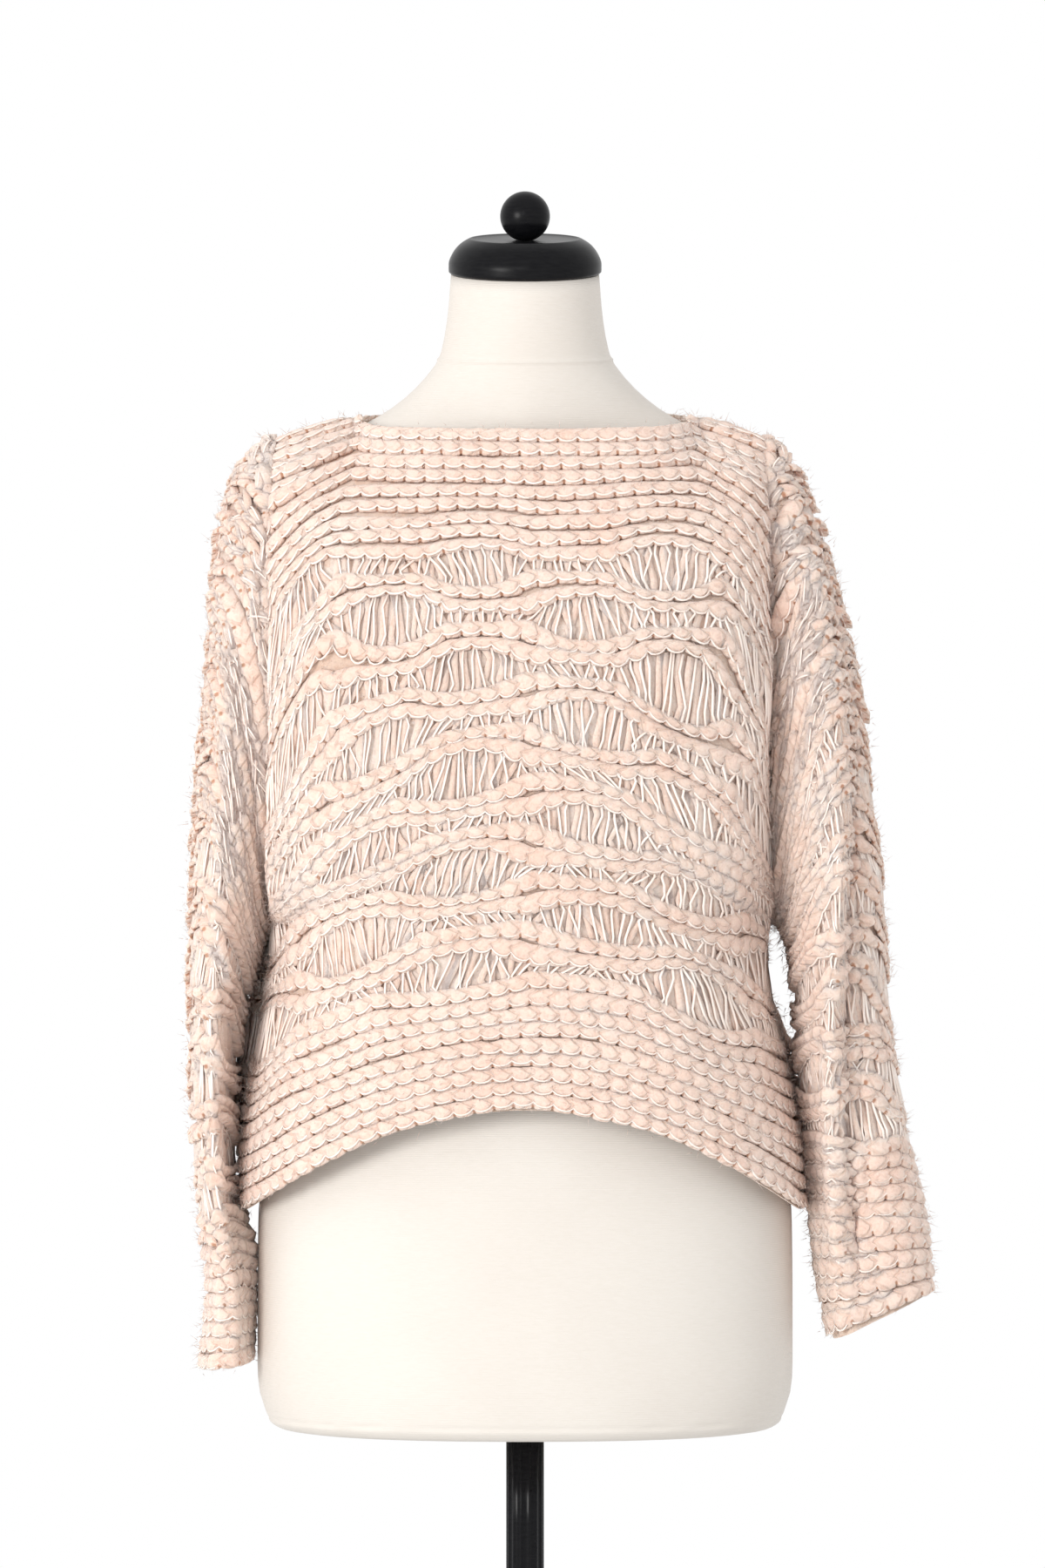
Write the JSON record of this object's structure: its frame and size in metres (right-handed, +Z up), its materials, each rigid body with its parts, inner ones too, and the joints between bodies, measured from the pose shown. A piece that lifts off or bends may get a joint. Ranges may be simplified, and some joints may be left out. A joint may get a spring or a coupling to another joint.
{
  "type": "knit sweater on a dress form",
  "caption": "Bulky boat-neck sweater in a ridged, wavy drop-stitch knit, worn by a limbless dress form on a fluted pole and a round base.",
  "frame": {"origin": "centre of the base's underside, on the floor under the pole", "axes": "+Z up along the pole; the sweater's front faces -Y; the wearer's left is +X"},
  "size_m": [0.4916, 0.344, 1.5395],
  "materials": {
    "knit": "fuzzy pale pink yarn carried with a thin shiny white cord",
    "jersey": "fine cream jersey, stretched smooth",
    "wood": "turned wood, black satin lacquer",
    "pole": "gloss black enamel",
    "base": "satin black enamel"
  },
  "bodies": {
    "root": {"front": "knit", "back": "knit", "sleeve_right": "knit", "sleeve_left": "knit", "form_torso": "jersey", "neck_cap": "wood", "neck_knob": "wood", "pole": "pole", "base": "base"}
  },
  "joints": []
}
